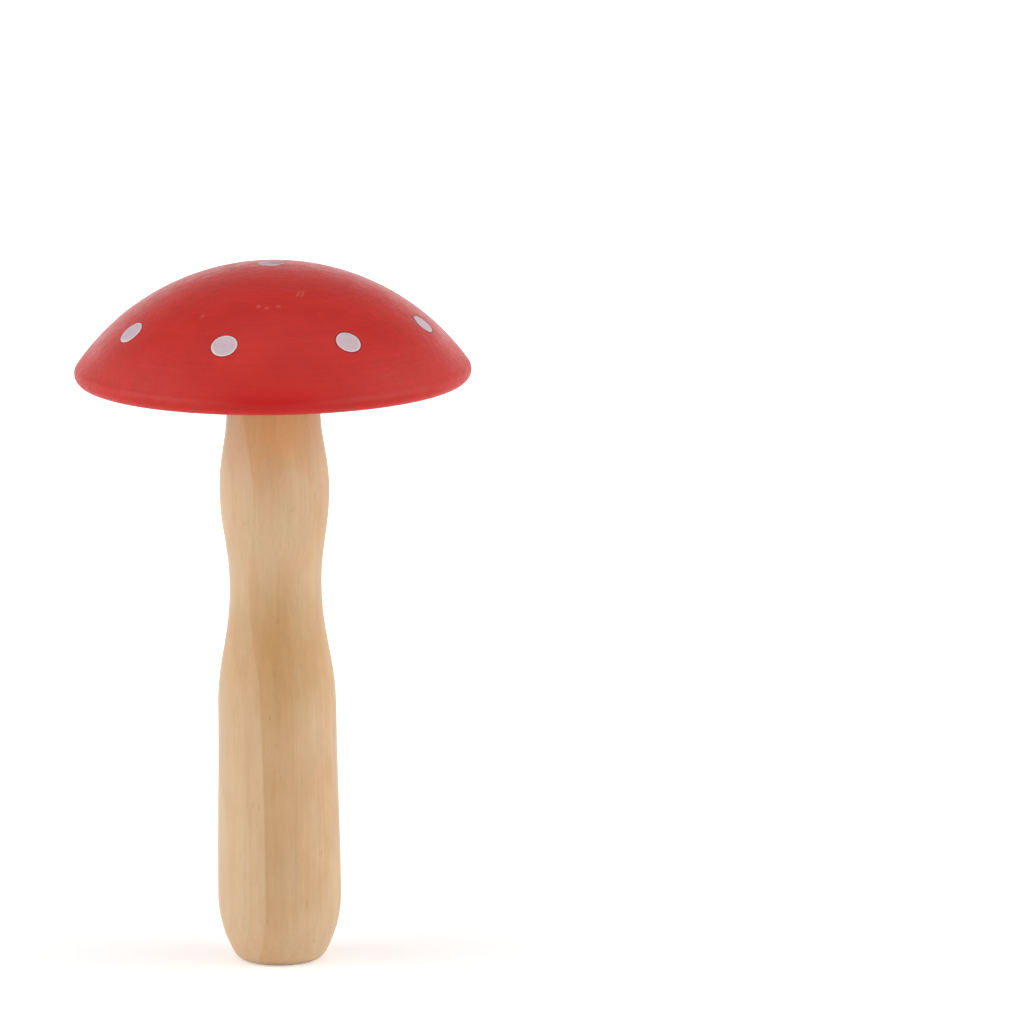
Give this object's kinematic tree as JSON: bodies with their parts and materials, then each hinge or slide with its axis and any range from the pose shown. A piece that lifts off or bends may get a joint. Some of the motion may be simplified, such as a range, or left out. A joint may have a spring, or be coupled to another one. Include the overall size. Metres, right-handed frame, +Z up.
{
  "type": "darning mushroom",
  "caption": "Turned wooden darning mushroom: a painted, spotted dome cap that unscrews from a contoured handle with a rounded foot.",
  "frame": {"origin": "centre of the flat face under the handle's foot, on the surface that the mushroom stands on", "axes": "+Z up along the turning axis, through the crown of the cap; +X to the right and +Y away from the viewer in the picture's view, which only the spots on the cap tell apart"},
  "size_m": [0.078, 0.078, 0.1396],
  "materials": {
    "clear_wood": "satin",
    "red_painted_wood": "satin",
    "white_paint": "satin",
    "steel": "satin",
    "brass": "satin"
  },
  "bodies": {
    "handle": {"handle": "clear_wood", "hanger_bolt": "steel"},
    "lift_carrier": {"threaded_insert": "brass"},
    "cap": {"cap": "red_painted_wood", "crown_dot": "white_paint", "ring_dot_1": "white_paint", "ring_dot_2": "white_paint", "ring_dot_3": "white_paint", "ring_dot_4": "white_paint", "ring_dot_5": "white_paint", "ring_dot_6": "white_paint", "ring_dot_7": "white_paint", "ring_dot_8": "white_paint"}
  },
  "joints": [
    {"name": "cap_lift", "type": "slide", "parent": "handle", "child": "lift_carrier", "axis": [0, 0, 1], "range_m": [0, 0.01]},
    {"name": "cap_unscrew", "type": "hinge", "parent": "lift_carrier", "child": "cap", "pos_m": [0, 0, 0.116], "axis": [0, 0, 1], "range_deg": [0, 3600]}
  ],
  "couplings": [
    {"joint": "cap_lift", "follows": "cap_unscrew", "m_per_rad": 0.00015915}
  ]
}
